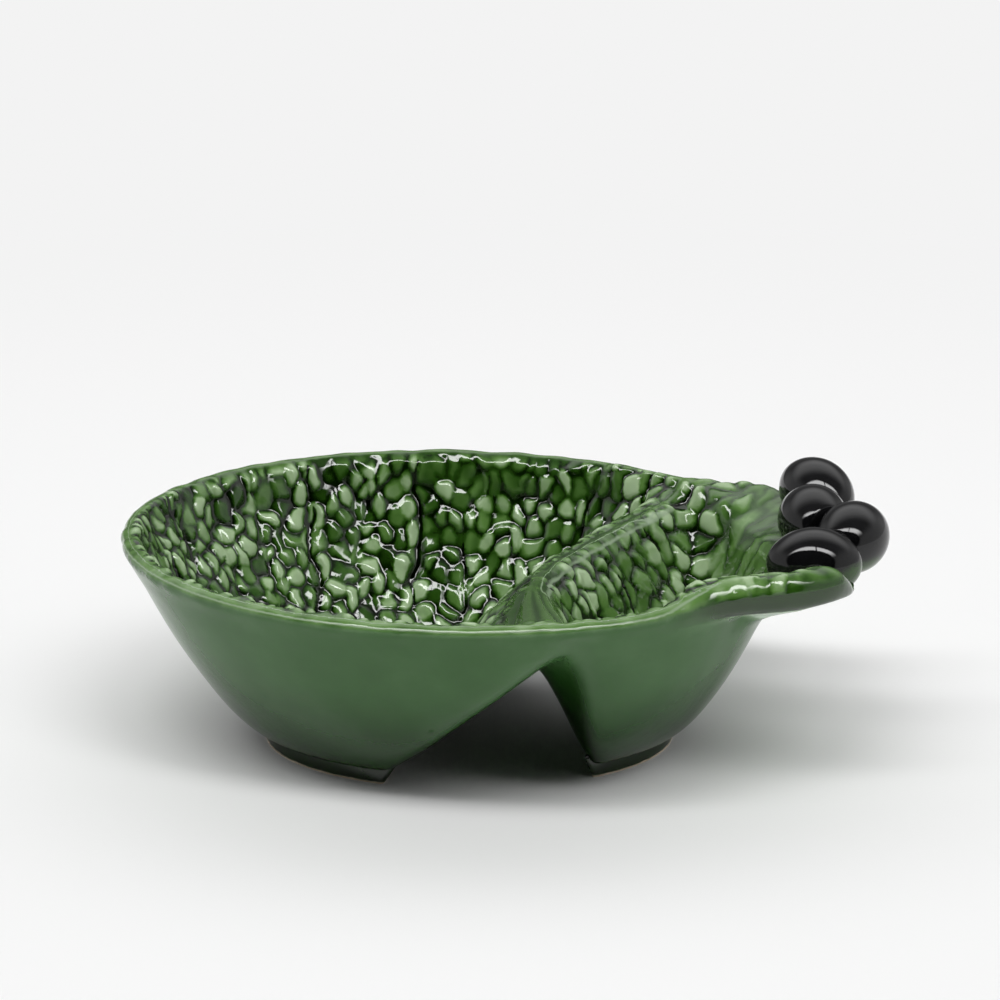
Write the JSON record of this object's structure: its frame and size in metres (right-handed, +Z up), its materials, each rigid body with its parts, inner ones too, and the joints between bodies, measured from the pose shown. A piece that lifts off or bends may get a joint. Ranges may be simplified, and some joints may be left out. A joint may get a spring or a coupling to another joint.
{
  "type": "olive dish",
  "caption": "Glazed leaf-shaped pottery dish with a large basin and a small pit basin parted by a hollow fold, standing on foot rings, with model olives on a rolled shelf.",
  "frame": {"origin": "on the table, under the middle of the dish's outline box", "axes": "+X towards the model olives, +Z up, +Y away from the side with the fold's wide knuckle"},
  "size_m": [0.204, 0.1514, 0.0686],
  "materials": {
    "green_glaze": "gloss",
    "foot_glaze": "gloss",
    "black_glaze": "gloss"
  },
  "bodies": {
    "root": {"leaf_dish": "green_glaze", "large_foot_ring": "foot_glaze", "small_foot_ring": "foot_glaze", "olive_front": "black_glaze", "olive_inner": "black_glaze", "olive_outer": "black_glaze", "olive_back": "black_glaze"}
  },
  "joints": []
}
